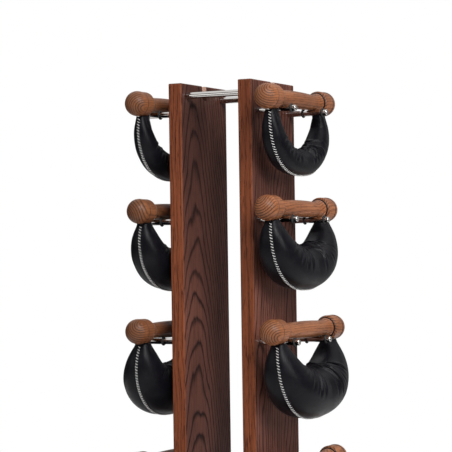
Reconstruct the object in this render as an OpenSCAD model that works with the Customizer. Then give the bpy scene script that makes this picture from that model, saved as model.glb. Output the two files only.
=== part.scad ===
// Storage tower for swing weights: two upright boards on a base plate, tied by two
// cross rods, with pairs of steel pegs on the outer faces that carry turned wooden
// handles, each with a crescent-shaped leather pouch hanging below it.
// Millimetres, +Z up, origin on the floor under the middle of the tower.
// +X is the right-hand row of weights, -Y is the front.

/* [Boards] */
// Depth of an upright board, front to back
board_d = 177; // [150:1:220]
// Thickness of an upright board
board_t = 28; // [24:0.5:36]
// Clear gap between the two boards
board_gap = 117; // [100:1:160]
// Length of an upright board
board_h = 900; // [880:1:1000]
// Rounding of the boards' edges
board_edge_r = 3; // [1:0.5:6]
// Width of the slot in the top of each board
slot_w = 15; // [8:0.5:24]
// Depth of the slot in the top of each board
slot_h = 27; // [10:0.5:40]

/* [Base] */
// Width of the base plate
base_w = 390; // [340:5:460]
// Depth of the base plate
base_d = 300; // [260:5:380]
// Thickness of the base plate
base_t = 27; // [20:1:36]
// Corner radius of the base plate
base_corner_r = 18; // [8:1:40]
// Height of a foot
foot_h = 6; // [3:0.5:12]
// Diameter of a foot
foot_dia = 32; // [20:1:45]
// Distance of a foot's centre from the plate's sides
foot_inset = 32; // [25:1:60]
// Diameter of a board screw
screw_dia = 6; // [4:0.5:8]
// Length of a board screw
screw_len = 62; // [45:1:80]
// Spacing of the three screws under a board
screw_pitch = 56; // [35:1:65]

/* [Cross rods] */
// Diameter of a cross rod
rod_dia = 12; // [10:0.5:16]
// Distance of a rod's axis from the middle of the boards
rod_y = 66; // [40:1:68]
// Distance of a rod's axis below the boards' tops
rod_drop = 22.5; // [15:0.5:30]
// Diameter of the stud that joins a rod to a board
rod_stud_dia = 8; // [6:0.5:8]
// Depth of that stud in the rod and in the board
rod_stud_depth = 16; // [10:0.5:18]

/* [Pegs] */
// Diameter of a peg
peg_dia = 11; // [10:0.5:13]
// Length of a peg outside the board
peg_len = 80; // [76:1:95]
// Distance of a peg's axis from the middle of the boards
peg_y = 66; // [55:1:68]
// Rounding of a peg's end
peg_tip_r = 2.5; // [1:0.5:4]
// Diameter of a peg's spigot in the board
spigot_dia = 8; // [6:0.5:9]
// Length of a peg's spigot in the board
spigot_len = 18; // [12:0.5:20]
// Distance of the inner ring from the board
ring_inner = 30; // [24:0.5:33]
// Distance of the outer ring from the board
ring_outer = 70; // [69:0.5:74]
// Thickness of a ring
ring_section = 3.5; // [2.5:0.25:4]
// Depth of a ring's groove
ring_groove = 0.75; // [0.5:0.05:1.25]
// Distance of each level's peg axes below the boards' tops
level_drop = [56, 256, 478, 723]; // [50:1:760]
// Height of the lowest peg axes above the boards' feet
level_room = 177; // [150:1:220]

/* [Handles] */
// Diameter of the grip at its middle
grip_dia = 32; // [29:0.5:36]
// Diameter of the grip at its necks
neck_dia = 27.6; // [24:0.2:30]
// Length of each level's grip between its necks
grip_len = [138, 147, 157, 162]; // [136:1:190]
// Length of the flare from a neck to the grip's end
flare_len = 16; // [10:0.5:20]
// Diameter of the flare at the grip's end
flare_dia = 36; // [30:0.5:40]
// Diameter of a knob's collar
collar_dia = 45.6; // [40:0.2:48]
// Length of a knob's collar
collar_len = 26; // [20:0.5:32]
// Rounding of a collar's inner end
collar_edge_r = 5; // [1.5:0.5:8]
// Width of the turned line between a collar and its dome
line_w = 1.6; // [0.8:0.1:3]
// Depth of the turned line
line_depth = 0.8; // [0.3:0.1:1.5]
// Diameter of a knob's dome
knob_dia = 46.4; // [42:0.2:50]
// Length of the straight rim under the dome
knob_rim = 1.5; // [1:0.25:6]
// Rounding of the grip's ends
turned_edge_r = 1.2; // [0.5:0.1:1.4]
// Diameter of the tenon that carries a lug
tenon_dia = 18; // [14:0.5:24]
// Diameter of the stud in a knob
stud_dia = 8; // [6:0.5:10]
// Depth of that stud in the grip and in the knob
stud_depth = 18; // [12:0.5:24]
// Distance of each left handle's axis from its board
left_reach = [49.5, 46, 49.5, 54]; // [40:0.5:56]
// Distance of each right handle's axis from its board
right_reach = [46.5, 46, 55, 55]; // [40:0.5:56]

/* [Pouches] */
// Thickness of a lug's leather
lug_t = 2.4; // [1.6:0.1:4]
// Diameter of a lug
lug_dia = 41.6; // [38:0.2:45]
// Width of the strap between a lug and its bag
strap_w = 21; // [14:0.5:26]
// Length of the strap on the bag
strap_len = 21; // [15:0.5:24]
// Thickness of a bag's leather
bag_wall = 3; // [2:0.25:4]
// Radius of each bag at its belly
belly_r = [25, 39, 46, 50.5]; // [20:0.5:51]
// Radius towards which each bag's arms taper
bag_end_r = [8, 9, 10, 11]; // [6:0.5:12]
// Depth of each belly's middle below the handle's axis
belly_drop = [115.5, 110, 116, 122]; // [100:0.5:130]
// Distance of each arm's middle outside its lug
arm_offset = [17.5, 15, 9.5, 8.5]; // [6:0.5:20]

/* [Clearances] */
// Gap between a handle at rest and its pegs
rest_gap = 0.3; // [0.2:0.05:0.6]
// Gap between a lug and the wood on each side of it
lug_gap = 0.3; // [0.2:0.05:0.6]
// Radial clearance of studs, screws and spigots in their holes
bore_gap = 0.05; // [0.02:0.01:0.1]
// Gap between a bag's leather and its filling
fill_gap = 0.3; // [0.2:0.05:0.8]

/* [Hidden] */
$fn = 48;
sides = ["left", "right"];
levels = [1, 2, 3, 4];

TOWER_NODES = ["base_plate", "left_board", "right_board", "front_rod", "rear_rod",
    "rod_studs", "base_screws", "feet", "left_peg_rings", "right_peg_rings"];
WEIGHT_PIECES = ["pegs", "grip", "knobs", "studs", "pouch", "filling"];

wood = "#4a2c22";
turned_wood = "#8a5a3e";
steel = "#c8cacc";
leather = "#222226";
rubber = "#151515";
granules = "#8c8880";

// Board length that the levels' distances fill; on other boards they keep their shares
normal_h = level_drop[len(levels) - 1] + level_room;

// Heights of the tower
base_z = foot_h;
board_z = base_z + base_t;
top_z = board_z + board_h;
outer_x = board_gap / 2 + board_t;

// Round stretches of an outline
arc_steps = 5;
blind_gap = 0.5;
ring_seat_gap = 0.05;
cut = 1;

// Places along each level's handle, measured from its middle
groove_w = lug_t + 2 * lug_gap;
function neck_y(level) = grip_len[level - 1] / 2;
function flare_y(level) = neck_y(level) + flare_len;
function lug_y(level) = flare_y(level) + groove_w / 2;
function knob_y(level) = flare_y(level) + groove_w;

// Height of a handle's axis over its pegs' axes
barrel_sag = (grip_dia - neck_dia) / 2;
function barrel_r(level, y) = grip_dia / 2 - barrel_sag * pow(y / neck_y(level), 2);
function handle_rise(level) = peg_dia / 2 + barrel_r(level, peg_y) + rest_gap;

function side_sign(side) = side == "left" ? -1 : 1;
function reach(side, level) = side == "left" ? left_reach[level - 1] : right_reach[level - 1];
function peg_z(level) = top_z - level_drop[level - 1] * board_h / normal_h;
function handle_place(side, level) =
    [side_sign(side) * (outer_x + reach(side, level)), 0, peg_z(level) + handle_rise(level)];

// Corner arc of radius r about c, from angle a to angle b
function arc(c, r, a, b) =
    [for (i = [0:arc_steps]) let (t = a + (b - a) * i / arc_steps) c + r * [cos(t), sin(t)]];

function round_rect(w, h, r) = concat(
    arc([w / 2 - r, h / 2 - r], r, 0, 90),
    arc([r - w / 2, h / 2 - r], r, 90, 180),
    arc([r - w / 2, r - h / 2], r, 180, 270),
    arc([w / 2 - r, r - h / 2], r, 270, 360));

module along_x(side) {
    rotate([0, 90 * side_sign(side), 0]) children();
}

module along_y(end) {
    rotate([-90 * end, 0, 0]) children();
}

// Upright board centred on x = 0, with rounded edges, a slot in its top and square feet
module board_blank() {
    difference() {
        intersection() {
            linear_extrude(top_z) polygon(round_rect(board_t, board_d, board_edge_r));
            translate([0, board_d, top_z - board_h]) rotate([90, 0, 0]) linear_extrude(2 * board_d)
                polygon(round_rect(board_t, 2 * board_h, board_edge_r));
            translate([-board_t, 0, top_z - board_h]) rotate([90, 0, 90]) linear_extrude(2 * board_t)
                polygon(round_rect(board_d, 2 * board_h, board_edge_r));
        }
        translate([-board_t, -board_d, 0]) cube([2 * board_t, 2 * board_d, board_z]);
        translate([-board_t, -slot_w / 2, top_z - slot_h]) cube([2 * board_t, slot_w, slot_h + cut]);
    }
}

module board(side) {
    s = side_sign(side);
    mid_x = s * (board_gap + board_t) / 2;
    color(wood) difference() {
        translate([mid_x, 0, 0]) board_blank();
        for (level = levels) for (y = [-peg_y, peg_y])
            translate([s * (outer_x - spigot_len - blind_gap), y, peg_z(level)]) along_x(side)
                cylinder(d = spigot_dia + 2 * bore_gap, h = spigot_len + blind_gap + cut);
        for (y = [-rod_y, rod_y])
            translate([s * (board_gap / 2 - cut), y, top_z - rod_drop]) along_x(side)
                cylinder(d = rod_stud_dia + 2 * bore_gap, h = rod_stud_depth + blind_gap + cut);
        for (y = [-screw_pitch, 0, screw_pitch])
            translate([mid_x, y, board_z - cut])
                cylinder(d = screw_dia + 2 * bore_gap, h = base_z + screw_len - board_z + blind_gap + cut);
    }
}

screw_head_dia = 2 * screw_dia;
screw_head_h = screw_dia / 2;
base_bevel = 2;

// Countersunk screw along +Z, its head's face at z = 0
module screw_form(gap, face) {
    rotate_extrude() polygon([
        [0, -face], [screw_head_dia / 2 + gap, -face], [screw_head_dia / 2 + gap, 0],
        [screw_dia / 2 + gap, screw_head_h], [screw_dia / 2 + gap, screw_len], [0, screw_len]]);
}

module at_screws() {
    for (s = [-1, 1]) for (y = [-screw_pitch, 0, screw_pitch])
        translate([s * (board_gap + board_t) / 2, y, base_z]) children();
}

// Outline of a plate seen from its side, from x = -w to x = w, with bevelled corners
function bevel_rect(w, t, b) =
    [[b - w, 0], [w - b, 0], [w, b], [w, t - b], [w - b, t], [b - w, t], [-w, t - b], [-w, b]];

module base_plate() {
    color(wood) difference() {
        translate([0, 0, base_z]) intersection() {
            linear_extrude(base_t) polygon(round_rect(base_w, base_d, base_corner_r));
            translate([0, base_d / 2, 0]) rotate([90, 0, 0]) linear_extrude(base_d)
                polygon(bevel_rect(base_w / 2, base_t, base_bevel));
            translate([-base_w / 2, 0, 0]) rotate([90, 0, 90]) linear_extrude(base_w)
                polygon(bevel_rect(base_d / 2, base_t, base_bevel));
        }
        at_screws() screw_form(bore_gap, cut);
    }
}

module base_screws() {
    color(steel) at_screws() screw_form(0, 0);
}

module feet() {
    edge = foot_h / 4;
    color(rubber)
        for (x = [-1, 1]) for (y = [-1, 1])
            translate([x * (base_w / 2 - foot_inset), y * (base_d / 2 - foot_inset), 0])
                rotate_extrude() polygon([[0, 0], [foot_dia / 2 - edge, 0], [foot_dia / 2, edge],
                    [foot_dia / 2, foot_h], [0, foot_h]]);
}

// Round rod between the boards, with bevelled ends and a blind hole for a stud in each
module cross_rod(y) {
    bevel = rod_dia / 12;
    hole_r = rod_stud_dia / 2 + bore_gap;
    hole_l = rod_stud_depth + blind_gap;
    l = board_gap / 2;
    r = rod_dia / 2;
    color(steel) translate([0, y, top_z - rod_drop]) rotate([0, 90, 0]) rotate_extrude() polygon([
        [0, hole_l - l], [hole_r, hole_l - l], [hole_r, -l], [r - bevel, -l], [r, bevel - l],
        [r, l - bevel], [r - bevel, l], [hole_r, l], [hole_r, l - hole_l], [0, l - hole_l]]);
}

module rod_studs() {
    color(steel) for (side = sides) for (y = [-rod_y, rod_y])
        translate([side_sign(side) * (board_gap / 2 - rod_stud_depth), y, top_z - rod_drop]) along_x(side)
            cylinder(d = rod_stud_dia, h = 2 * rod_stud_depth);
}

// Peg along +Z with the board's face at z = 0: spigot, two ring grooves and a rounded end
module peg() {
    r = peg_dia / 2;
    groove_r = r - ring_groove;
    g = ring_section / 2 + ring_seat_gap;
    rotate_extrude() polygon(concat(
        [[0, -spigot_len], [spigot_dia / 2, -spigot_len], [spigot_dia / 2, 0], [r, 0]],
        [for (z = [ring_inner, ring_outer]) each
            [[r, z - g], [groove_r, z - g], [groove_r, z + g], [r, z + g]]],
        arc([r - peg_tip_r, peg_len - peg_tip_r], peg_tip_r, 0, 90),
        [[0, peg_len]]));
}

module at_pegs(side, level) {
    for (y = [-peg_y, peg_y])
        translate([side_sign(side) * outer_x, y, peg_z(level)]) along_x(side) children();
}

module pegs(side, level) {
    color(steel) at_pegs(side, level) peg();
}

module peg_rings(side) {
    ring_r = peg_dia / 2 - ring_groove + ring_section / 2 + ring_seat_gap;
    color(rubber) for (level = levels) at_pegs(side, level)
        for (z = [ring_inner, ring_outer]) translate([0, 0, z])
            rotate_extrude() translate([ring_r, 0]) circle(d = ring_section, $fn = 24);
}

// One half of a turned grip's outline, as [radius, distance from the middle]
barrel_steps = 6;
flare_steps = 8;
function grip_half(level) = let (n = neck_y(level), f = flare_y(level), k = knob_y(level)) concat(
    [for (i = [1:barrel_steps]) let (y = n * i / barrel_steps) [barrel_r(level, y), y]],
    [for (i = [1:flare_steps - 1]) let (t = i / flare_steps)
        [neck_dia / 2 + (flare_dia - neck_dia) / 2 * (1 - cos(180 * t)) / 2, n + flare_len * t]],
    arc([flare_dia / 2 - turned_edge_r, f - turned_edge_r], turned_edge_r, 0, 90),
    [[tenon_dia / 2, f], [tenon_dia / 2, k],
     [stud_dia / 2 + bore_gap, k], [stud_dia / 2 + bore_gap, k - stud_depth - blind_gap],
     [0, k - stud_depth - blind_gap]]);

module grip(side, level) {
    half = grip_half(level);
    count = len(half);
    color(turned_wood) translate(handle_place(side, level)) along_y(1) rotate_extrude() polygon(concat(
        [for (i = [1:count]) let (p = half[count - i]) [p[0], -p[1]]],
        [[grip_dia / 2, 0]], half));
}

// End knob from its inner face at z = 0: collar, turned line, rim and dome, with a hole for its stud
line_z = collar_len;
rim_z = line_z + line_w;
dome_z = rim_z + knob_rim;
module knob() {
    collar_r = collar_dia / 2;
    r = knob_dia / 2;
    difference() {
        union() {
            translate([0, 0, dome_z]) intersection() {
                sphere(r = r, $fn = 96);
                cylinder(r = knob_dia, h = knob_dia);
            }
            rotate_extrude($fn = 96) polygon(concat(
                [[0, 0]], arc([collar_r - collar_edge_r, collar_edge_r], collar_edge_r, -90, 0),
                [[collar_r, line_z], [collar_r - line_depth, line_z + line_w / 2], [r, rim_z], [r, dome_z],
                 [0, dome_z]]));
        }
        translate([0, 0, -cut]) cylinder(d = stud_dia + 2 * bore_gap, h = stud_depth + blind_gap + cut);
    }
}

module at_knobs(side, level) {
    translate(handle_place(side, level)) for (end = [-1, 1]) along_y(end)
        translate([0, 0, knob_y(level)]) children();
}

module knobs(side, level) {
    color(turned_wood) at_knobs(side, level) knob();
}

module studs(side, level) {
    color(steel) at_knobs(side, level) translate([0, 0, -stud_depth]) cylinder(d = stud_dia, h = 2 * stud_depth);
}

// Crescent of a bag: its middle line hangs between the lugs, and its radius falls towards both ends
arm_round = 0.8;
belly_round = 0.7;
taper = [3.6, 3.1, 2.8, 2.7];
bag_top_gap = 4;
bag_sides = 16;
bag_rings = 10;
lining_sides = 10;
lining_rings = 6;
lining_ratio = 0.93;
end_ratio = 0.7;
way_ratio = 0.01;

bag_top = max(knob_dia, collar_dia) / 2 + bag_top_gap;
function bag_half(level) = lug_y(level) + arm_offset[level - 1];
// Share of the quarter turn from the belly to an arm's upper end
function bag_end(level) = acos(pow(bag_top / belly_drop[level - 1], 1 / belly_round)) / 90;
function bag_mid(level, t) = let (a = 90 * abs(t), s = t < 0 ? -1 : 1)
    [s * bag_half(level) * pow(sin(a), arm_round), -belly_drop[level - 1] * pow(cos(a), belly_round)];
function bag_r(level, t) = let (b = belly_r[level - 1], e = bag_end_r[level - 1])
    e + (b - e) * (1 - pow(abs(t), taper[level - 1]));
function bag_way(level, t) =
    let (d = bag_mid(level, t + way_ratio) - bag_mid(level, t - way_ratio)) d / norm(d);

// Ring of n points about the middle line, of radius r, moved by shift along it
function bag_ring(level, t, r, shift, n) =
    let (w = bag_way(level, t), c = bag_mid(level, t) + shift * w)
    [for (k = [0:n - 1]) let (a = 360 * k / n)
        [r * cos(a), c[0] - r * sin(a) * w[1], c[1] + r * sin(a) * w[0]]];

// Rings from one end to the other, inset from the outer surface, with rounded ends
function bag_loft(level, inset, end, count, n) =
    let (e = bag_end(level) * end, re = bag_r(level, e) - inset, lift = re * (1 - end_ratio) / 2)
    concat(
        bag_ring(level, -e, re * end_ratio, -lift, n),
        [for (i = [-count:count]) let (t = e * i / count) each
            bag_ring(level, t, bag_r(level, t) - inset, 0, n)],
        bag_ring(level, e, re * end_ratio, lift, n));

module loft(points, n) {
    rings = len(points) / n;
    polyhedron(points, concat(
        [[for (k = [n - 1:-1:0]) k]],
        [for (i = [0:rings - 2]) for (k = [0:n - 1]) let (a = i * n + k, b = i * n + (k + 1) % n) each
            [[a, b, a + n], [b, b + n, a + n]]],
        [[for (k = [0:n - 1]) (rings - 1) * n + k]]));
}

// Flat leather lug: a ring round the tenon and a strap that runs down into the bag
module lug() {
    strap_end = bag_top + strap_len;
    rotate([90, 0, 0]) translate([0, 0, -lug_t / 2]) linear_extrude(lug_t) difference() {
        union() {
            circle(d = lug_dia);
            translate([-strap_w / 2, -strap_end]) square([strap_w, strap_end]);
        }
        circle(d = tenon_dia + 2 * lug_gap);
    }
}

module pouch(side, level) {
    color(leather) translate(handle_place(side, level)) difference() {
        union() {
            loft(bag_loft(level, 0, 1, bag_rings, bag_sides), bag_sides);
            for (end = [-1, 1]) translate([0, end * lug_y(level), 0]) lug();
        }
        loft(bag_loft(level, bag_wall, lining_ratio, lining_rings, lining_sides), lining_sides);
    }
}

module filling(side, level) {
    color(granules) translate(handle_place(side, level))
        loft(bag_loft(level, bag_wall + fill_gap, lining_ratio, lining_rings, lining_sides), lining_sides);
}

base_plate();
board("left");  // left_board
board("right");  // right_board
cross_rod(-rod_y);  // front_rod
cross_rod(rod_y);  // rear_rod
rod_studs();
base_screws();
feet();
peg_rings("left");  // left_peg_rings
peg_rings("right");  // right_peg_rings
for (side = sides) for (level = levels) {
    pegs(side, level);
    grip(side, level);
    knobs(side, level);
    studs(side, level);
    pouch(side, level);
    filling(side, level);
}
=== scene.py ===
import math

import bmesh
import bpy
from mathutils import Matrix, Vector, noise


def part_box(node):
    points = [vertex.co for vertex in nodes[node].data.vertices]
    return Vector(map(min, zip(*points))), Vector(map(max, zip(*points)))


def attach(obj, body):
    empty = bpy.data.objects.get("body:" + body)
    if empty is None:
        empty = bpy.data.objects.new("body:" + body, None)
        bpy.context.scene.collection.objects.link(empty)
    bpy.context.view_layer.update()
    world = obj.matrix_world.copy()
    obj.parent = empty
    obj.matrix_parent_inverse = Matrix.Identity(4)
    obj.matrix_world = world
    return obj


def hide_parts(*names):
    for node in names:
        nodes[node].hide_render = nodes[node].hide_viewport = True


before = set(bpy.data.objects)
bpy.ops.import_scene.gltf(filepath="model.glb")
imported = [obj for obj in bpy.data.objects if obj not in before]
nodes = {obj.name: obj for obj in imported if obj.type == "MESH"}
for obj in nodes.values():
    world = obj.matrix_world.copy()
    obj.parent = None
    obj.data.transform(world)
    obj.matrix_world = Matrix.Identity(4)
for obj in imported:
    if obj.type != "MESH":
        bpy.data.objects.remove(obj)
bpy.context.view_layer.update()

scene = bpy.context.scene
sides = ("left", "right")
levels = (1, 2, 3, 4)
mm = 0.001
print("tower loaded:", len(nodes), "nodes")

# camera, from the photograph's own perspective
cameraView = {
    "place": (1.6372, -3.0990, 0.6074),
    "yaw": 28.08,
    "pitch": 0.997,
    "roll": -0.843,
    "focalPixels": 1874.2,
    "framePixels": 452,
    "sensor": 36.0,
    "farClip": 50,
}


def makeCamera(view):
    yaw, pitch, roll = (math.radians(view[key]) for key in ("yaw", "pitch", "roll"))
    level = math.cos(pitch)
    ahead = Vector((-math.sin(yaw) * level, math.cos(yaw) * level, math.sin(pitch)))
    flatRight = Vector((math.cos(yaw), math.sin(yaw), 0))
    flatUp = flatRight.cross(ahead)
    right = math.cos(roll) * flatRight + math.sin(roll) * flatUp
    up = math.cos(roll) * flatUp - math.sin(roll) * flatRight
    lens = bpy.data.cameras.new("camera")
    lens.sensor_width = view["sensor"]
    lens.lens = view["sensor"] * view["focalPixels"] / view["framePixels"]
    lens.clip_end = view["farClip"]
    camera = bpy.data.objects.new("camera", lens)
    turn = Matrix((right, up, -ahead)).transposed().to_4x4()
    camera.matrix_world = Matrix.Translation(view["place"]) @ turn
    scene.collection.objects.link(camera)
    scene.camera = camera


makeCamera(cameraView)
scene.view_settings.view_transform = "Standard"
print("camera placed")


# node helpers: wires holds either plain values or sockets to link
def wire(tree, node, wires):
    for socket, value in wires.items():
        if isinstance(value, bpy.types.NodeSocket):
            tree.links.new(value, node.inputs[socket])
        else:
            node.inputs[socket].default_value = value
    return node


def put(tree, kind, wires=None, **settings):
    node = tree.nodes.new("ShaderNode" + kind)
    for name, value in settings.items():
        setattr(node, name, value)
    return wire(tree, node, wires or {})


def calc(tree, operation, first, second=0.0, third=0.0):
    wires = {0: first, 1: second, 2: third}
    return put(tree, "Math", wires, operation=operation).outputs[0]


def vectorCalc(tree, operation, first, second, third=(0, 0, 0)):
    wires = {0: first, 1: second, 2: third}
    return put(tree, "VectorMath", wires, operation=operation).outputs[0]


def axesOf(tree, vector):
    return put(tree, "SeparateXYZ", {0: vector}).outputs


def ramp(tree, value, low, high, atLow=0.0, atHigh=1.0):  # smooth step between two values
    wires = {"Value": value, "From Min": low, "From Max": high, "To Min": atLow, "To Max": atHigh}
    return put(tree, "MapRange", wires, interpolation_type="SMOOTHSTEP").outputs["Result"]


def mixColour(tree, share, first, second, blend="MIX"):
    node = put(tree, "Mix", {0: share, 6: first, 7: second}, data_type="RGBA", blend_type=blend)
    return node.outputs[2]


def tinted(tree, colour, factor):  # a colour times one grey value
    grey = put(tree, "CombineColor", {0: factor, 1: factor, 2: factor}).outputs[0]
    return mixColour(tree, 1.0, colour, grey, "MULTIPLY")


def shaded(colour, factor):
    return tuple(factor * part for part in colour[:3]) + (1,)


def noiseAt(tree, vector, scale, detail=3.0, rough=0.55):
    wires = {"Vector": vector, "Scale": scale, "Detail": detail, "Roughness": rough}
    return put(tree, "TexNoise", wires).outputs["Fac"]


def stretchedNoise(tree, vector, factors, detail):
    return noiseAt(tree, vectorCalc(tree, "MULTIPLY", vector, factors), 1.0, detail)


def facingAlongY(tree):  # 1 where a surface faces along Y, 0 where it lies along it
    normal = put(tree, "TexCoord").outputs["Normal"]
    return calc(tree, "ABSOLUTE", axesOf(tree, normal)[1])


def newGroup(name, inputs, outputs):
    tree = bpy.data.node_groups.new(name, "ShaderNodeTree")
    for label, kind, value in inputs:
        socket = tree.interface.new_socket(label, in_out="INPUT", socket_type="NodeSocket" + kind)
        socket.default_value = value
    for label in outputs:
        tree.interface.new_socket(label, in_out="OUTPUT", socket_type="NodeSocketFloat")
    start = tree.nodes.new("NodeGroupInput").outputs
    end = tree.nodes.new("NodeGroupOutput").inputs
    return tree, start, end


def useGroup(tree, group, wires):
    node = put(tree, "Group", node_tree=group)
    return wire(tree, node, wires).outputs


# growth rings round the local Z axis, with open pores and fibres that run along it
timberForm = {
    "slow": (9, 9, 3.8),  # stretch of the slow wander that bends the rings
    "fine": (60, 60, 9),
    "fineShare": 0.11,
    "balance": 0.555,  # mean of both wanders, taken off again
    "rise": (0.62, 0.97),  # part of a year over which its dark line grows
    "fall": (0.0, 0.2),
    "weakest": 0.85,  # what the palest years' lines lose
    "poreStretch": 0.045,
    "porePull": 0.14,  # pores crowd in the dark lines
    "poreEdge": (0.57, 0.68),
    "fibre": (420, 420, 11),
    "fibreRange": (0.25, 0.75),
    "tone": (14, 14, 3),
}


def makeTimberGroup(form):
    inputs = (("Vector", "Vector", (0, 0, 0)), ("Ring Width", "Float", 5 * mm), ("Wobble", "Float", 4 * mm),
              ("Pore Size", "Float", 1.1 * mm), ("Taper", "Float", 0.0), ("Even", "Float", 0.75),
              ("Thin", "Float", 2.0))
    tree, start, end = newGroup("timber", inputs, ("Early", "Pores", "Fibre", "Tone"))
    vector = start["Vector"]
    axes = axesOf(tree, vector)
    flat = put(tree, "CombineXYZ", {0: axes[0], 1: axes[1]}).outputs[0]
    radius = put(tree, "VectorMath", {0: flat}, operation="LENGTH").outputs["Value"]
    slow = stretchedNoise(tree, vector, form["slow"], 2.0)
    fine = stretchedNoise(tree, vector, form["fine"], 2.0)
    bent = calc(tree, "MULTIPLY_ADD", fine, form["fineShare"], slow)
    wander = calc(tree, "SUBTRACT", bent, form["balance"])
    thick = calc(tree, "MULTIPLY_ADD", axes[2], start["Taper"], radius)
    grown = calc(tree, "MULTIPLY_ADD", wander, start["Wobble"], thick)
    count = calc(tree, "DIVIDE", grown, start["Ring Width"])
    part = calc(tree, "FRACT", count)
    whole = calc(tree, "FLOOR", count)
    year = put(tree, "TexWhiteNoise", {"W": whole}, noise_dimensions="1D").outputs["Value"]
    rise = ramp(tree, part, *form["rise"])
    fall = ramp(tree, part, *form["fall"], 1.0, 0.0)
    band = calc(tree, "POWER", calc(tree, "MAXIMUM", rise, fall), start["Thin"])
    uneven = calc(tree, "SUBTRACT", 1.0, start["Even"])
    weak = calc(tree, "MULTIPLY", calc(tree, "SUBTRACT", 1.0, year), uneven)
    early = calc(tree, "MULTIPLY", band, calc(tree, "MULTIPLY_ADD", weak, -form["weakest"], 1.0))
    across = calc(tree, "DIVIDE", 1.0, start["Pore Size"])
    along = calc(tree, "MULTIPLY", across, form["poreStretch"])
    poreScale = put(tree, "CombineXYZ", {0: across, 1: across, 2: along}).outputs[0]
    grainy = stretchedNoise(tree, vector, poreScale, 2.0)
    pores = ramp(tree, calc(tree, "MULTIPLY_ADD", early, form["porePull"], grainy), *form["poreEdge"])
    tree.links.new(early, end["Early"])
    tree.links.new(pores, end["Pores"])
    tree.links.new(stretchedNoise(tree, vector, form["fibre"], 3.0), end["Fibre"])
    tree.links.new(stretchedNoise(tree, vector, form["tone"], 3.0), end["Tone"])
    return tree


# wear along the edges of a box: the mask is 1 on an edge and 0 away from it
wearForm = {"scale": 70.0, "detail": 4.0, "rubbed": (0.38, 0.66)}


def makeEdgeGroup(form):
    inputs = (("Vector", "Vector", (0, 0, 0)), ("Centre", "Vector", (0, 0, 0)),
              ("Half", "Vector", (0.1, 0.1, 0.1)), ("Width", "Float", 3 * mm))
    tree, start, end = newGroup("edgeWear", inputs, ("Edge",))
    away = vectorCalc(tree, "SUBTRACT", start["Vector"], start["Centre"])
    size = put(tree, "VectorMath", {0: away}, operation="ABSOLUTE").outputs[0]
    a, b, c = axesOf(tree, vectorCalc(tree, "SUBTRACT", size, start["Half"]))
    lower = calc(tree, "MINIMUM", a, b)
    upper = calc(tree, "MAXIMUM", a, b)
    second = calc(tree, "MAXIMUM", lower, calc(tree, "MINIMUM", upper, c))
    reach = calc(tree, "MULTIPLY", start["Width"], -1.0)
    near = put(tree, "MapRange", {"Value": second, "From Min": reach, "From Max": 0.0}).outputs["Result"]
    rub = ramp(tree, noiseAt(tree, start["Vector"], form["scale"], form["detail"]), *form["rubbed"])
    tree.links.new(calc(tree, "MULTIPLY", near, rub), end["Edge"])
    return tree


# fine pebble of leather, with slow patches of sheen
hideForm = {
    "jogScale": 160.0,
    "jog": 2 * mm,  # how far the pebbles stray from a clean pattern
    "cellEdge": (0.0, 0.22),
    "soft": 420.0,
    "softShare": 0.35,
    "patch": 34.0,
}


def makeHideGroup(form):
    inputs = (("Vector", "Vector", (0, 0, 0)), ("Pebble", "Float", 1.6 * mm))
    tree, start, end = newGroup("hide", inputs, ("Height", "Patch"))
    vector = start["Vector"]
    scale = calc(tree, "DIVIDE", 1.0, start["Pebble"])
    jog = put(tree, "TexNoise", {"Vector": vector, "Scale": form["jogScale"], "Detail": 2.0}).outputs["Color"]
    moved = vectorCalc(tree, "MULTIPLY_ADD", jog, (form["jog"],) * 3, vector)
    cells = put(tree, "TexVoronoi", {"Vector": moved, "Scale": scale}, feature="DISTANCE_TO_EDGE").outputs[0]
    soft = noiseAt(tree, vector, form["soft"], 3.0)
    height = calc(tree, "MULTIPLY_ADD", soft, form["softShare"], ramp(tree, cells, *form["cellEdge"]))
    tree.links.new(height, end["Height"])
    tree.links.new(noiseAt(tree, vector, form["patch"], 4.0, 0.6), end["Patch"])
    return tree


# fine turning marks across a rod's own axis, with a few longer scratches along it
metalForm = {"lathe": (5200, 120, 120), "scratch": (40, 3000, 3000), "scratchShare": 0.4, "smear": 55.0}


def makeTurnedMetalGroup(form):
    tree, start, end = newGroup("turnedMetal", (("Vector", "Vector", (0, 0, 0)),), ("Marks", "Smear"))
    lathe = stretchedNoise(tree, start["Vector"], form["lathe"], 2.0)
    scratch = stretchedNoise(tree, start["Vector"], form["scratch"], 1.0)
    tree.links.new(calc(tree, "MULTIPLY_ADD", scratch, form["scratchShare"], lathe), end["Marks"])
    tree.links.new(noiseAt(tree, start["Vector"], form["smear"], 4.0), end["Smear"])
    return tree


timberGroup = makeTimberGroup(timberForm)
edgeGroup = makeEdgeGroup(wearForm)
hideGroup = makeHideGroup(hideForm)
turnedMetalGroup = makeTurnedMetalGroup(metalForm)


def newMaterial(name, **sockets):
    material = bpy.data.materials.new(name)
    material.use_nodes = True
    tree = material.node_tree
    shader = tree.nodes["Principled BSDF"]
    for socket, value in sockets.items():
        shader.inputs[socket.replace("_", " ")].default_value = value
    place = put(tree, "TexCoord").outputs["Object"]
    return material, tree, shader, place


def addBump(tree, shader, height, distance, strength):
    bump = put(tree, "Bump", {"Height": height, "Distance": distance, "Strength": strength})
    tree.links.new(bump.outputs[0], shader.inputs["Normal"])


def dress(name, material):
    slots = nodes[name].data.materials
    slots.clear()
    slots.append(material)


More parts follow.
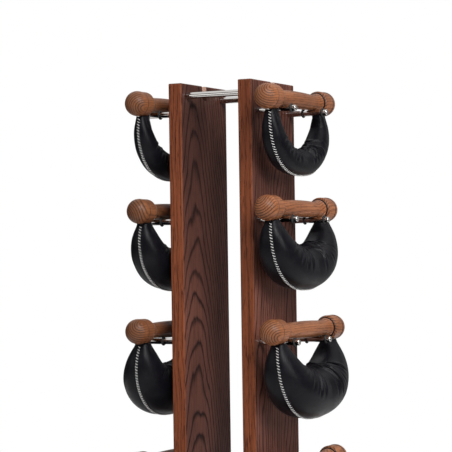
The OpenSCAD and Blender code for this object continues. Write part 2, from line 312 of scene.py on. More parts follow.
# dark stained open-grained boards; the narrow faces' colours are brighter and redder than the wide faces':
# partly the edge grain's own colour, partly painted light
boardFinish = {
    "narrow": ((0.230, 0.064, 0.025, 1), (0.150, 0.040, 0.016, 1)),
    "wide": ((0.156, 0.057, 0.039, 1), (0.094, 0.035, 0.025, 1)),
    "early": (0.012, 0.0045, 0.004, 1),
    "edge": (0.220, 0.080, 0.040, 1),
    "slotWall": (0.56, 0.37, 0.29, 1),
    "slotFootShade": (0.040, 0.016, 0.011, 1),
    "slotGrain": 0.4,
    "specular": 0.12,
    "edgeTurn": (0.6, 0.8),  # how far a face turns towards Y before it counts as narrow
    "toneRange": (0.3, 0.7),
    "fibre": (0.72, 1.18),
    "lineDark": (0.97, 0.55),  # strength of the ring lines on wide and narrow faces
    "poreDark": (0.6, 0.8),
    "paintedShadeHeight": (0.45, 0.93),
    "wear": 0.45,
    "edgeWidth": 4.0 * mm,
    "glossRange": (0.2, 0.8),
    "rough": (0.40, 0.50),
    "poreRough": 0.25,
    "fibreRelief": 0.25,
    "poreDepth": 0.25 * mm,
    "bump": 0.8,
}
boardTimber = {  # heart of each piece's trunk, its tilt in degrees, ring width, wobble, taper, the brightness of its wide and narrow faces (partly tone, partly painted light) and its painted shade by height
    "left_board": {"heart": (-0.125, -0.042, 0.0), "tilt": (0.0, 0.0, 0.0), "ring": 7.0 * mm,
                   "wobble": 30 * mm, "taper": 0.13, "wideToneAndLight": 0.88, "narrowToneAndLight": 1.20,
                   "paintedShade": (1.28, 0.74)},
    "right_board": {"heart": (0.300, 0.320, 0.0), "tilt": (0.3, 0.4, 0.0), "ring": 8.5 * mm,
                    "wobble": 62 * mm, "taper": 0.05, "wideToneAndLight": 1.22, "narrowToneAndLight": 0.94,
                    "paintedShade": (1.10, 1.0)},
    "base_plate": {"heart": (0.05, 0.02, -0.12), "tilt": (0.0, 90.0, 1.5), "ring": 5.0 * mm,
                   "wobble": 10 * mm, "taper": 0.02, "wideToneAndLight": 1.0, "narrowToneAndLight": 1.0,
                   "paintedShade": (1.0, 1.0)},
}
edgeTimber = {  # narrow faces
    "heart": (0.4, 0.9, 0.0),
    "ring": 3.4 * mm,
    "wobble": 14 * mm,
    "pore": 1.1 * mm,
    "even": 0.3,
}
slotForm = {
    "halfWidth": 7.5 * mm,
    "depth": 27 * mm,
    "bare": 19 * mm,  # painted shade below that, deeper in the slot
    "skin": 0.3 * mm,
}


def woodAt(tree, place, heart, tilt, wires):
    turn = Matrix.Identity(3)
    for axis, angle in zip("XYZ", tilt):
        turn = Matrix.Rotation(math.radians(angle), 3, axis) @ turn
    back = turn.inverted()
    moves = {"Vector": place, "Rotation": back.to_euler(), "Location": -(back @ Vector(heart))}
    mapping = put(tree, "Mapping", moves, vector_type="POINT")
    return useGroup(tree, timberGroup, {"Vector": mapping.outputs[0], **wires})


def stainedWood(name, timber, finish):
    material, tree, shader, place = newMaterial(name, Specular_IOR_Level=finish["specular"])
    low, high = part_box(name)
    wide = woodAt(tree, place, timber["heart"], timber["tilt"],
                  {"Ring Width": timber["ring"], "Wobble": timber["wobble"], "Taper": timber["taper"]})
    narrow = woodAt(tree, place, edgeTimber["heart"], timber["tilt"],
                    {"Ring Width": edgeTimber["ring"], "Wobble": edgeTimber["wobble"],
                     "Pore Size": edgeTimber["pore"], "Even": edgeTimber["even"]})
    onEdge = ramp(tree, facingAlongY(tree), *finish["edgeTurn"])
    wood = {key: put(tree, "Mix", {0: onEdge, 2: wide[key], 3: narrow[key]}).outputs[0]
            for key in ("Early", "Pores", "Fibre", "Tone")}
    axes = axesOf(tree, place)
    tone = ramp(tree, wood["Tone"], *finish["toneRange"])
    # painted light: each board's factors scale its wide and narrow faces' colours, partly for its tone and
    # partly in place of light, as on the right board's wide faces, lightened where the pouches shade them
    wideStain = mixColour(tree, tone, *(shaded(stain, timber["wideToneAndLight"]) for stain in finish["wide"]))
    paintedShade = ramp(tree, axes[2], *finish["paintedShadeHeight"], *timber["paintedShade"])  # painted shade: the wide faces darken towards the top
    narrowStain = mixColour(tree, tone, *(shaded(stain, timber["narrowToneAndLight"]) for stain in finish["narrow"]))
    stain = mixColour(tree, onEdge, tinted(tree, wideStain, paintedShade), narrowStain)
    stain = tinted(tree, stain, ramp(tree, wood["Fibre"], *timberForm["fibreRange"], *finish["fibre"]))
    lines = calc(tree, "MULTIPLY", wood["Early"], ramp(tree, onEdge, 0.0, 1.0, *finish["lineDark"]))
    pores = calc(tree, "MULTIPLY", wood["Pores"], ramp(tree, onEdge, 0.0, 1.0, *finish["poreDark"]))
    dark = calc(tree, "MAXIMUM", lines, pores)
    colour = mixColour(tree, dark, stain, finish["early"])
    wear = useGroup(tree, edgeGroup, {"Vector": place, "Centre": (low + high) / 2, "Half": (high - low) / 2,
                                      "Width": finish["edgeWidth"]})["Edge"]
    colour = mixColour(tree, calc(tree, "MULTIPLY", wear, finish["wear"]), colour, finish["edge"])
    if name != "base_plate":  # cut walls inside the slot in the board's top
        across = slotForm["halfWidth"] + slotForm["skin"]
        inWidth = calc(tree, "LESS_THAN", calc(tree, "ABSOLUTE", axes[1]), across)
        inDepth = calc(tree, "GREATER_THAN", axes[2], high.z - slotForm["depth"] - slotForm["skin"])
        inBare = calc(tree, "GREATER_THAN", axes[2], high.z - slotForm["bare"])
        grain = calc(tree, "MULTIPLY", wood["Early"], finish["slotGrain"])
        # painted shade: below the bare part the slot's walls take a dark colour
        wall = mixColour(tree, inBare, finish["slotFootShade"],
                         mixColour(tree, grain, finish["slotWall"], finish["edge"]))
        colour = mixColour(tree, calc(tree, "MULTIPLY", inWidth, inDepth), colour, wall)
    tree.links.new(colour, shader.inputs["Base Color"])
    rough = ramp(tree, wood["Tone"], *finish["glossRange"], *finish["rough"])
    rough = calc(tree, "MULTIPLY_ADD", wood["Pores"], finish["poreRough"], rough)
    tree.links.new(rough, shader.inputs["Roughness"])
    proud = calc(tree, "SUBTRACT", 1.0, dark)
    proud = calc(tree, "MULTIPLY_ADD", wood["Fibre"], finish["fibreRelief"], proud)
    addBump(tree, shader, proud, finish["poreDepth"], finish["bump"])
    return material


for name, timber in boardTimber.items():
    dress(name, stainedWood(name, timber, boardFinish))
print("boards stained")

# turned handles: each is a blank of its own, with the heart near its axis
handleFinish = {
    "late": (0.420, 0.160, 0.070, 1),
    "lateDark": (0.240, 0.084, 0.034, 1),
    "early": (0.022, 0.008, 0.005, 1),
    "specular": 0.24,
    "toneRange": (0.28, 0.72),
    "fibre": (0.8, 1.15),
    "domeTurn": (0.15, 0.8),  # how far a surface turns towards Y before it is all end grain
    "endGrain": 0.76,  # the domes' end grain drinks more stain
    "ring": 4.3 * mm,
    "wobble": 6 * mm,
    "even": 0.6,
    "thin": 0.9,
    "lineTurn": (0.1, 0.6),
    "lineDark": (0.30, 1.0),  # strength of the ring lines along the barrel and on end grain
    "pore": 0.9 * mm,
    "poreDark": 0.55,
    "poreRough": 0.2,
    "poreDepth": 0.2 * mm,
    "rough": (0.40, 0.28),  # end grain, barrel
    "bump": 0.6,
    "hearts": ((0.010, 0.016), (-0.014, 0.020), (0.018, -0.012), (-0.022, -0.010)),
    "toneAndShade": {  # each blank's colour factor: partly its own tone, partly painted shade
        "left": (0.68, 0.58, 0.62, 0.65),
        "right": (0.92, 1.00, 0.85, 0.90),
    },
    "lean": 2.5,
    "turnedLine": 26.8 * mm,  # from the knob's inner face to the line between collar and dome
    "lineWidth": (0.68 * mm, 1.7 * mm),
    "grooveShade": 0.9,
}


def turnedWood(name, centre, knobFace, heart, lean, tone, finish):
    material, tree, shader, place = newMaterial(name, Specular_IOR_Level=finish["specular"])
    start = centre + Vector((heart[0], 0, heart[1]))
    wood = woodAt(tree, place, start, (90, 0, lean),
                  {"Ring Width": finish["ring"], "Wobble": finish["wobble"], "Pore Size": finish["pore"],
                   "Even": finish["even"], "Thin": finish["thin"]})
    colour = mixColour(tree, ramp(tree, wood["Tone"], *finish["toneRange"]), shaded(finish["late"], tone),
                       shaded(finish["lateDark"], tone))
    colour = tinted(tree, colour, ramp(tree, wood["Fibre"], *timberForm["fibreRange"], *finish["fibre"]))
    facing = facingAlongY(tree)
    drunk = ramp(tree, facing, *finish["domeTurn"], 1.0, finish["endGrain"])
    lineDark = ramp(tree, facing, *finish["lineTurn"], *finish["lineDark"])
    lines = calc(tree, "MULTIPLY", wood["Early"], lineDark)
    dark = calc(tree, "MAXIMUM", lines, calc(tree, "MULTIPLY", wood["Pores"], finish["poreDark"]))
    y = calc(tree, "ABSOLUTE", axesOf(tree, place)[1])
    fromLine = calc(tree, "ABSOLUTE", calc(tree, "SUBTRACT", y, knobFace + finish["turnedLine"]))
    # painted shade: a dark band where the groove between collar and dome lies
    dark = calc(tree, "MAXIMUM", dark, ramp(tree, fromLine, *finish["lineWidth"], finish["grooveShade"], 0.0))
    colour = mixColour(tree, dark, tinted(tree, colour, drunk), finish["early"])
    tree.links.new(colour, shader.inputs["Base Color"])
    rough = ramp(tree, drunk, finish["endGrain"], 1.0, *finish["rough"])
    rough = calc(tree, "MULTIPLY_ADD", wood["Pores"], finish["poreRough"], rough)
    tree.links.new(rough, shader.inputs["Roughness"])
    addBump(tree, shader, calc(tree, "SUBTRACT", 1.0, dark), finish["poreDepth"], finish["bump"])
    return material


handleCentre = {}
for side in sides:
    for level in levels:
        low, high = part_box(f"{side}_grip_{level}")
        centre = (low + high) / 2
        handleCentre[side, level] = centre
        pick = (level - 1 + 2 * (side == "left")) % len(handleFinish["hearts"])
        heart = handleFinish["hearts"][pick]
        lean = handleFinish["lean"] * (1 if (level + pick) % 2 else -1)
        # the handle's colour factor, partly tone and partly painted shade
        tone = handleFinish["toneAndShade"][side][level - 1]
        wood = turnedWood(f"{side}_handle_{level}", centre, high.y, heart, lean, tone, handleFinish)
        dress(f"{side}_grip_{level}", wood)
        dress(f"{side}_knobs_{level}", wood)
print("handles turned:", len(handleCentre))

# polished rods and pegs, plain fasteners
steelFinish = {
    "smearRange": (0.3, 0.75),
    "bump": 0.6,
    "polished": {"colour": (0.60, 0.575, 0.555, 1), "rough": (0.05, 0.11), "marks": 0.0015 * mm},
    "plain": {"colour": (0.55, 0.55, 0.56, 1), "rough": (0.30, 0.48), "marks": 0.03 * mm},
}


def steel(name, kind, finish):
    own = finish[kind]
    material, tree, shader, place = newMaterial(name, Metallic=1.0, Base_Color=own["colour"])
    turned = useGroup(tree, turnedMetalGroup, {"Vector": place})
    rough = ramp(tree, turned["Smear"], *finish["smearRange"], *own["rough"])
    tree.links.new(rough, shader.inputs["Roughness"])
    addBump(tree, shader, turned["Marks"], own["marks"], finish["bump"])
    return material


polishedSteel = steel("polishedSteel", "polished", steelFinish)
plainSteel = steel("plainSteel", "plain", steelFinish)
for name in ("front_rod", "rear_rod"):
    dress(name, polishedSteel)
for name in ("rod_studs", "base_screws"):
    dress(name, plainSteel)
for side in sides:
    for level in levels:
        dress(f"{side}_pegs_{level}", polishedSteel)
        dress(f"{side}_studs_{level}", plainSteel)

# black rubber of the peg rings and feet, and the granules inside the pouches
rubberFinish = {
    "colour": (0.012, 0.012, 0.013, 1),
    "dusty": (0.035, 0.034, 0.033, 1),
    "dustRange": (0.45, 0.75),
    "patchRange": (0.3, 0.7),
    "rough": (0.48, 0.68),
    "specular": 0.35,
    "pebble": 0.6 * mm,
    "relief": 0.05 * mm,
    "bump": 0.5,
}
granuleFinish = {
    "dark": (0.20, 0.19, 0.17, 1),
    "light": (0.62, 0.60, 0.55, 1),
    "rough": 0.8,
    "size": 3 * mm,
    "relief": 0.6 * mm,
    "bump": 1.0,
}


def rubber(name, finish):
    material, tree, shader, place = newMaterial(name, Specular_IOR_Level=finish["specular"])
    hide = useGroup(tree, hideGroup, {"Vector": place, "Pebble": finish["pebble"]})
    dusty = ramp(tree, hide["Patch"], *finish["dustRange"])
    tree.links.new(mixColour(tree, dusty, finish["colour"], finish["dusty"]), shader.inputs["Base Color"])
    rough = ramp(tree, hide["Patch"], *finish["patchRange"], *finish["rough"])
    tree.links.new(rough, shader.inputs["Roughness"])
    addBump(tree, shader, hide["Height"], finish["relief"], finish["bump"])
    return material


def granules(name, finish):
    material, tree, shader, place = newMaterial(name, Roughness=finish["rough"])
    stones = put(tree, "TexVoronoi", {"Vector": place, "Scale": 1 / finish["size"]})
    tint = put(tree, "SeparateColor", {0: stones.outputs["Color"]}).outputs[0]
    tree.links.new(mixColour(tree, tint, finish["dark"], finish["light"]), shader.inputs["Base Color"])
    domed = calc(tree, "SUBTRACT", 1.0, stones.outputs["Distance"])
    addBump(tree, shader, domed, finish["relief"], finish["bump"])
    return material


blackRubber = rubber("blackRubber", rubberFinish)
stoneFill = granules("stoneFill", granuleFinish)
for name in ("left_peg_rings", "right_peg_rings", "feet"):
    dress(name, blackRubber)
print("steel, rubber and granules done")

# leather pouches: a crescent loft with rounded arms, and a flat lug behind each knob's collar
pouchForm = {
    "groove": 3.0 * mm,  # gap between grip and knob that holds a lug
    "lugThick": 2.4 * mm,
    "lugRadius": 19.8 * mm,
    "lugHole": 9.3 * mm,
    "lugRoll": 0.6 * mm,
    "lugSteps": 48,
    "strapHalf": 8.0 * mm,
    "strapTop": 11.3 * mm,
    "strapEnd": 47 * mm,
    "strapBands": 10,
    "topDepth": 25.5 * mm,  # depth of an arm's upper end below the handle's axis
    "collarGap": (24.0 * mm, 21.5 * mm),  # the arms' tops follow the collar down to the second depth
    "square": 0.7,  # how far the arms' round section grows square towards the top
    "squareReach": (0.5, 0.3),  # where that starts along the half, and over what share
    "armOffset": (17.5 * mm, 15 * mm, 9.5 * mm, 8.5 * mm),
    "endRadius": (8 * mm, 9 * mm, 10 * mm, 11 * mm),
    "taper": (3.6, 3.1, 2.8, 2.7),
    "fuller": (4.0 * mm, 2.0 * mm, 2.0 * mm, 2.0 * mm),  # how far the arms' inner sides stand proud
    "bulge": {  # on the side away from the board
        "left": (-5 * mm, 0.0, 8 * mm, 2 * mm),
        "right": (0.0, 5 * mm, 7 * mm, 2 * mm),
    },
    "sway": {  # of the belly, away from the board
        "left": (0.0, 0.0, 9 * mm, 2 * mm),
        "right": (0.0, 2 * mm, 5 * mm, 2 * mm),
    },
    "gather": (10 * mm, 5 * mm, 1 * mm, 0.0),  # extra leather that closes the arms' tops against the lugs
    "shoulder": 0.16,  # share of the radius that the arms lose close to their tops
    "shoulderLength": 0.12,
    "fullRadius": 14 * mm,  # thinner stretches take less of the folds and bulges
    "armRound": 0.8,
    "bellyRound": 0.7,
    "slopeStep": 0.01,
    "around": 64,
    "along": 140,
    "capRings": 5,
}
seamTurn = {"left": 2.0, "right": 17.0}  # degrees from the outer side towards +X
creaseForm = {
    "folds": (  # share along the half, depth, width and fan of each fold on the inner side
        (0.0, 3.0 * mm, 0.030, 0.0),
        (0.10, 8.0 * mm, 0.016, 0.03),
        (0.18, 13.0 * mm, 0.015, 0.05),
        (0.29, 11.0 * mm, 0.018, 0.10),
        (0.44, 8.0 * mm, 0.018, 0.14),
    ),
    "size": 40 * mm,  # belly radius that takes the folds at just these depths
    "inside": (0.85, 0.15),  # the folds run a little past the arms' flanks
    "reach": 0.9,
    "wander": 0.04,
    "strength": (0.55, 0.9),  # mean and spread from fold to fold
    "ridge": (0.5, 2.4, 1.4),  # height beside a fold, and its place and width in fold widths
    "lump": 0.8 * mm,
    "lumpSize": 46 * mm,
}
fillingForm = {"inset": 4.0 * mm, "reach": 0.7, "around": 48}
sideSeed = {"left": 11, "right": 0}


def bagPath(level, side):
    form = pouchForm
    centre = handleCentre[side, level]
    low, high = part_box(f"{side}_pouch_{level}")
    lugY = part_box(f"{side}_grip_{level}")[1].y - form["groove"] / 2
    bellyR = (high.x - low.x) / 2
    drop = centre.z - low.z - bellyR
    half = lugY + form["armOffset"][level - 1]
    thin = form["endRadius"][level - 1]

    def middle(t):
        turn = math.radians(90 * abs(t))
        y = half * math.sin(turn) ** form["armRound"]
        return Vector((0, math.copysign(y, t), -drop * math.cos(turn) ** form["bellyRound"]))

    def radius(t):
        return thin + (bellyR - thin) * (1 - abs(t) ** form["taper"][level - 1])

    last = math.degrees(math.acos((form["topDepth"] / drop) ** (1 / form["bellyRound"]))) / 90
    return {"middle": middle, "radius": radius, "lugY": lugY, "last": last}


def bagStations(level, side):  # (middle, inward normal, radius, share along the half, cap angle)
    form = pouchForm
    path = bagPath(level, side)
    middle, last, step = path["middle"], path["last"], form["slopeStep"]
    stations = []

    def station(t, cap):
        way = (middle(t + step) - middle(t - step)).normalized()
        inward = Vector((0, -way.z, way.y))
        stations.append((middle(t), inward, path["radius"](t), t, cap))

    caps = [math.radians(90 * k / form["capRings"]) for k in range(form["capRings"])]
    for a in caps[:0:-1]:
        station(-last, a)
    for i in range(-form["along"], form["along"] + 1):
        station(last * i / form["along"], 0.0)
    for a in caps[1:]:
        station(last, a)
    return stations


def foldDepth(share, angle, seed):
    form = creaseForm
    slope, level = form["inside"]
    inside = max(0.0, math.sin(angle) * slope + level) ** form["reach"]
    mean, spread = form["strength"]
    ridge, ridgePlace, ridgeWidth = form["ridge"]
    flank = math.cos(angle)
    sink = 0.0
    for place, depth, width, fan in form["folds"]:
        for end in (-1, 1):  # the factors in the noise only keep the folds apart
            wander = noise.noise(Vector((3 * flank, end * 7 + place * 40, seed))) * form["wander"]
            off = abs(share - end * (place + fan * abs(flank) + wander))
            strong = mean + spread * noise.noise(Vector((seed * 3 + place * 19, end * 5, 2 * flank)))
            beside = (off - ridgePlace * width) / (ridgeWidth * width)
            sink += depth * strong * (math.exp(-off / width) - ridge * math.exp(-beside ** 2))
    return sink * inside


def finishMesh(name, mesh):
    bmesh.ops.recalc_face_normals(mesh, faces=mesh.faces[:])
    data = bpy.data.meshes.new(name)
    mesh.to_mesh(data)
    mesh.free()
    data.polygons.foreach_set("use_smooth", [True] * len(data.polygons))
    piece = bpy.data.objects.new(name, data)
    scene.collection.objects.link(piece)
    return piece


def joinRings(mesh, rings):
    for one, two in zip(rings, rings[1:]):
        for k in range(len(one)):
            n = (k + 1) % len(one)
            mesh.faces.new((one[k], one[n], two[n], two[k]))


def loftBag(stations, side, level, around, inset):
    form = pouchForm
    pick = level - 1
    path = bagPath(level, side)
    origin = handleCentre[side, level]
    turn = math.radians(seamTurn[side])
    away = 1 if side == "right" else -1
    seed = level + sideSeed[side]
    foldScale = math.sqrt(path["radius"](0) / creaseForm["size"])
    squareFrom, squareOver = form["squareReach"]
    collar, collarFoot = form["collarGap"]
    bag = bmesh.new()
    rings, spine = [], []
    for middle, inward, radius, share, cap in stations:
        ring = []
        full = min(1.0, radius / form["fullRadius"])
        belly = 1 - abs(share) ** 3
        nearTop = max(0.0, (abs(share) - path["last"]) / form["shoulderLength"] + 1)
        radius *= 1 - form["shoulder"] * nearTop ** 2
        sway = Vector((away * form["sway"][side][pick] * belly, 0, 0))
        power = 2 + form["square"] * min(1, max(0, abs(share) - squareFrom) / squareOver)
        for k in range(around):
            angle = 2 * math.pi * k / around - math.pi / 2 + turn  # starts on the seam
            normal = Vector((math.cos(angle), 0, 0)) + inward * math.sin(angle)
            sink = foldDepth(share, angle, seed) * full * foldScale
            inner = max(0.0, math.sin(angle)) ** 2
            outer = max(0.0, away * math.cos(angle))
            proud = form["fuller"][pick] * inner * math.sin(math.pi * min(1, abs(share))) ** 2
            proud += form["gather"][pick] * inner * nearTop
            proud += form["bulge"][side][pick] * outer * belly
            corner = (abs(math.cos(angle)) ** power + abs(math.sin(angle)) ** power) ** (-1 / power)
            point = middle + sway + normal * (radius * corner - sink + proud * full - inset) * math.cos(cap)
            if cap:
                point.z = -max(collarFoot, math.sqrt(max(0, collar ** 2 - point.x ** 2)))
            uneven = noise.noise((point + Vector((level, 0, 0))) / creaseForm["lumpSize"])
            lump = creaseForm["lump"] * full * (uneven - 1)
            ring.append(bag.verts.new(point + normal * lump + origin))
        rings.append(ring)
        out = Vector((math.sin(turn), 0, 0)) - inward * math.cos(turn)
        across = Vector((math.cos(turn), 0, 0)) + inward * math.sin(turn)
        spine.append((ring[0].co.copy(), out, across))
    joinRings(bag, rings)
    bag.faces.new(rings[0][::-1])
    bag.faces.new(rings[-1])
    return bag, spine


def makeBag(name, side, level):
    form = pouchForm
    bag, spine = loftBag(bagStations(level, side), side, level, form["around"], 0.0)
    addLugs(bag, side, level)
    piece = finishMesh(name, bag)
    piece.modifiers.new("smooth", "SUBSURF").render_levels = 1
    return piece, spine[form["capRings"] - 1:1 - form["capRings"]]


def makeFilling(name, side, level):  # granules that follow the leather's folds from inside
    form = fillingForm
    stations = [step for step in bagStations(level, side)[::2] if abs(step[3]) < form["reach"]]
    heap = loftBag(stations, side, level, form["around"], form["inset"])[0]
    return finishMesh(name, heap)


def addLugs(bag, side, level):  # flat rings of leather round the tenons, each with a strap below
    form = pouchForm
    origin = handleCentre[side, level]
    lugY = bagPath(level, side)["lugY"]
    t, roll, w, steps = form["lugThick"] / 2, form["lugRoll"], form["strapHalf"], form["lugSteps"]
    outline = ((form["lugHole"], -t), (form["lugHole"], t), (form["lugRadius"] - roll, t),
               (form["lugRadius"], 0), (form["lugRadius"] - roll, -t))
    border = ((-w, -t), (-w + roll, t), (w - roll, t), (w, -t), (w - roll, -t), (-w + roll, -t))
    fall = (form["strapEnd"] - form["strapTop"]) / form["strapBands"]
    depths = [form["strapTop"] + fall * i for i in range(form["strapBands"] + 1)]
    for end in (-1, 1):
        loops = []
        for i in range(steps):
            a = 2 * math.pi * i / steps
            loops.append([bag.verts.new(origin + Vector((r * math.cos(a), end * lugY + y, r * math.sin(a))))
                          for r, y in outline])
        for i in range(steps):
            one, two = loops[i], loops[(i + 1) % steps]
            for k in range(len(outline)):
                n = (k + 1) % len(outline)
                bag.faces.new((one[k], two[k], two[n], one[n]))
        bands = [[bag.verts.new(origin + Vector((x, end * lugY + y * end, -depth))) for x, y in border]
                 for depth in depths]
        joinRings(bag, bands)
        bag.faces.new(bands[0])
        bag.faces.new(bands[-1][::-1])


# outer seam: two rolled edges side by side, held by slanting white overcast stitches
seamForm = {
    "lipRadius": 1.0 * mm,
    "lipApart": 0.95 * mm,
    "lift": 0.1 * mm,
    "step": 3.5 * mm,
    "topGap": 0.5 * mm,  # below the knob
    "sides": 8,
}
stitchForm = {
    "pitch": 5.3 * mm,
    "across": 2.5 * mm,
    "slant": 1.5 * mm,
    "thread": 0.52 * mm,
    "thinEnds": 0.35,
    "arch": 1.2 * mm,
    "dig": 0.4 * mm,  # how deep the ends go into the leather
    "sides": 8,
    "bends": 9,
    "topGap": 1.5 * mm,
}


def sweepTube(mesh, points, radii, sidesCount, upHint):
    rings = []
    for i, point in enumerate(points):
        way = (points[min(i + 1, len(points) - 1)] - points[max(i - 1, 0)]).normalized()
        across = way.cross(upHint[i]).normalized()
        up = across.cross(way)
        rings.append([mesh.verts.new(point + radii[i] * (across * math.cos(a) + up * math.sin(a)))
                      for a in (2 * math.pi * k / sidesCount for k in range(sidesCount))])
    joinRings(mesh, rings)
    mesh.faces.new(rings[0][::-1])
    mesh.faces.new(rings[-1])


def seamWalk(spine, top):  # point, outward and sideways direction at any length below the knobs
    kept = [step for step in spine if step[0].z < top]
    lengths = [0.0]
    for one, two in zip(kept, kept[1:]):
        lengths.append(lengths[-1] + (two[0] - one[0]).length)

    def at(s):
        s = min(max(s, 0.0), lengths[-1])
        i = next((k for k in range(len(lengths) - 2) if lengths[k + 1] > s), len(lengths) - 2)
        f = (s - lengths[i]) / max(lengths[i + 1] - lengths[i], 1e-9)
        return [a.lerp(b, f) for a, b in zip(kept[i], kept[i + 1])]

    return at, lengths[-1]


def makeSeam(name, spine, top):
    form = seamForm
    at, length = seamWalk(spine, top)
    count = int(length / form["step"])
    lips = bmesh.new()
    for sideways in (-1, 1):
        points, ups = [], []
        for i in range(count + 1):
            point, out, across = at(length * i / count)
            points.append(point + across * sideways * form["lipApart"] + out * form["lift"])
            ups.append(out)
        sweepTube(lips, points, [form["lipRadius"]] * len(points), form["sides"], ups)
    return finishMesh(name, lips)


def makeStitches(name, spine, top):
    form = stitchForm
    at, length = seamWalk(spine, top - form["topGap"])
    count = int(length / form["pitch"])
    thread = bmesh.new()
    for i in range(count):
        middle = (i + 0.5) * length / count
        points, ups, radii = [], [], []
        for k in range(form["bends"]):
            f = 2 * k / (form["bends"] - 1) - 1
            point, out, across = at(middle + f * form["slant"])
            arch = form["arch"] * (1 - f ** 4) - form["dig"] * f ** 4
            points.append(point + across * f * form["across"] + out * arch)
            ups.append(out)
            radii.append(form["thread"] * (1 - form["thinEnds"] * f ** 6))
        sweepTube(thread, points, radii, form["sides"], ups)
    return finishMesh(name, thread)


leatherFinish = {
    "colour": (0.0036, 0.0035, 0.0053, 1),
    "worn": (0.0070, 0.0068, 0.0096, 1),
    "wornRange": (0.42, 0.75),
    "patchRange": (0.3, 0.7),
    "rough": (0.31, 0.43),
    "specular": 0.13,
    "sheen": 0.01,
    "sheenRough": 0.45,
    "pebble": 1.5 * mm,
    "relief": 0.09 * mm,
    "bump": 0.55,
}
threadFinish = {
    "light": (0.90, 0.89, 0.87, 1),
    "shade": (0.66, 0.65, 0.63, 1),
    "rough": 0.6,
    "specular": 0.3,
    "twist": 1.1 * mm,
    "stray": 2.0,
    "relief": 0.15 * mm,
    "bump": 0.7,
}


def leather(name, finish):
    material, tree, shader, place = newMaterial(name, Specular_IOR_Level=finish["specular"],
                                                Sheen_Weight=finish["sheen"],
                                                Sheen_Roughness=finish["sheenRough"])
    hide = useGroup(tree, hideGroup, {"Vector": place, "Pebble": finish["pebble"]})
    rubbed = ramp(tree, hide["Patch"], *finish["wornRange"])
    tree.links.new(mixColour(tree, rubbed, finish["colour"], finish["worn"]), shader.inputs["Base Color"])
    rough = ramp(tree, hide["Patch"], *finish["patchRange"], *finish["rough"])
    tree.links.new(rough, shader.inputs["Roughness"])
    addBump(tree, shader, hide["Height"], finish["relief"], finish["bump"])
    return material


def waxedThread(name, finish):
    material, tree, shader, place = newMaterial(name, Roughness=finish["rough"],
                                                Specular_IOR_Level=finish["specular"])
    scale = 1 / finish["twist"] / math.tau
    strands = put(tree, "TexWave", {"Vector": place, "Scale": scale, "Distortion": finish["stray"]},
                  bands_direction="DIAGONAL").outputs["Fac"]
    tree.links.new(mixColour(tree, strands, finish["shade"], finish["light"]), shader.inputs["Base Color"])
    addBump(tree, shader, strands, finish["relief"], finish["bump"])
    return material


blackLeather = leather("blackLeather", leatherFinish)
whiteThread = waxedThread("whiteThread", threadFinish)
for side in sides:
    for level in levels:
        body = f"{side}_bag_{level}"
        bag, spine = makeBag(f"{side}_pouch_{level}_leather", side, level)
        bag.data.materials.append(blackLeather)
        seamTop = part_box(f"{side}_knobs_{level}")[0].z - seamForm["topGap"]
        seam = makeSeam(f"{side}_pouch_{level}_seam", spine, seamTop)
        seam.data.materials.append(blackLeather)
        stitches = makeStitches(f"{side}_pouch_{level}_stitching", spine, seamTop)
        stitches.data.materials.append(whiteThread)
        for piece in (bag, seam, stitches):
            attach(piece, body)
        heap = makeFilling(f"{side}_filling_{level}_granules", side, level)
        heap.data.materials.append(stoneFill)
        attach(heap, body)
        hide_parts(f"{side}_filling_{level}")
        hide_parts(f"{side}_pouch_{level}")
print("pouches sewn")

# studio: pale round floor, white surroundings, a soft key from the front right and three weaker lamps
studio = {
    "floorRadius": 1.6,
    "floorSides": 96,
    "floorDrop": 0.2 * mm,
    "floorColour": (0.86, 0.86, 0.86, 1),
    "floorDim": 0.985,
    "floorPatch": 5.0,
    "floorRange": (0.3, 0.7),
    "floorRough": 0.7,
    "floorSpecular": 0.2,
    "ambient": 0.28,
    "backShine": 0.35,
    "backTurn": (0.45, 0.85),
    "darkSide": 0.04,  # what shiny surfaces see on the camera's side
    "darkBand": (0.45, 0.70),  # and at eye height, up to this rise
    "aim": (0, 0, 0.55),
}
lamps = {
    "key": {"place": (1.9, -1.9, 2.6), "size": 1.5, "power": 96, "mirrored": True},
    "side": {"place": (2.5, -0.7, 1.3), "size": 1.0, "power": 26, "mirrored": True},
    "fill": {"place": (-1.6, -2.4, 1.0), "size": 1.2, "power": 7, "mirrored": True},
    "rim": {"place": (-2.2, 1.8, 2.4), "size": 1.5, "power": 40, "mirrored": False},
}


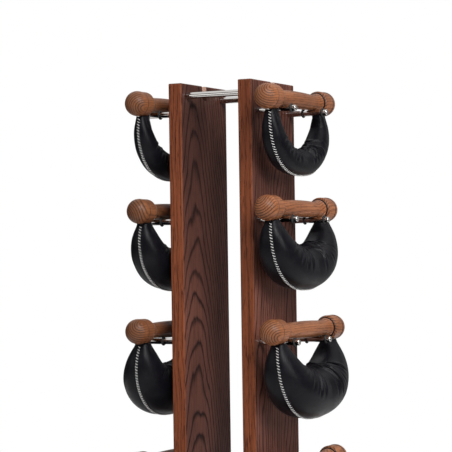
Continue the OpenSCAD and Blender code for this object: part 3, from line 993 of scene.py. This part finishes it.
def makeFloor(spec):
    floor = bmesh.new()
    bmesh.ops.create_circle(floor, cap_ends=True, segments=spec["floorSides"], radius=spec["floorRadius"])
    piece = finishMesh("floor", floor)
    piece.location.z = -spec["floorDrop"]
    material, tree, shader, place = newMaterial("paleFloor", Roughness=spec["floorRough"],
                                                Specular_IOR_Level=spec["floorSpecular"])
    tone = ramp(tree, noiseAt(tree, place, spec["floorPatch"]), *spec["floorRange"])
    dim = shaded(spec["floorColour"], spec["floorDim"])
    tree.links.new(mixColour(tree, tone, spec["floorColour"], dim), shader.inputs["Base Color"])
    piece.data.materials.append(material)


def makeWorld(spec):
    world = bpy.data.worlds.new("studio")
    world.use_nodes = True
    scene.world = world
    tree = world.node_tree
    tree.nodes.clear()
    ways = put(tree, "LightPath").outputs
    axes = axesOf(tree, put(tree, "TexCoord").outputs["Generated"])
    aboveBand = ramp(tree, calc(tree, "ABSOLUTE", axes[2]), *spec["darkBand"])
    back = ramp(tree, axes[1], *spec["backTurn"], 0.0, spec["backShine"])
    shade = ramp(tree, calc(tree, "MAXIMUM", aboveBand, back), 0.0, 1.0, spec["darkSide"], 1.0)
    shiny = calc(tree, "MULTIPLY", shade, ways["Is Glossy Ray"])
    seen = calc(tree, "MAXIMUM", ways["Is Camera Ray"], ways["Is Transmission Ray"])
    mirrored = calc(tree, "MAXIMUM", seen, ways["Is Glossy Ray"])
    strength = calc(tree, "MAXIMUM", calc(tree, "MAXIMUM", seen, shiny),
                    calc(tree, "MULTIPLY", calc(tree, "SUBTRACT", 1.0, mirrored), spec["ambient"]))
    light = put(tree, "Background", {"Color": (1, 1, 1, 1), "Strength": strength})
    tree.links.new(light.outputs[0], put(tree, "OutputWorld").inputs["Surface"])


def makeLamp(name, spec, target):
    data = bpy.data.lights.new(name, "AREA")
    data.size = spec["size"]
    data.energy = spec["power"]
    lamp = bpy.data.objects.new(name, data)
    lamp.location = spec["place"]
    lamp.rotation_euler = (Vector(target) - Vector(spec["place"])).to_track_quat("-Z", "Y").to_euler()
    lamp.visible_glossy = spec["mirrored"]
    scene.collection.objects.link(lamp)


makeFloor(studio)
makeWorld(studio)
for name, spec in lamps.items():
    makeLamp(name, spec, studio["aim"])
print("studio lit")
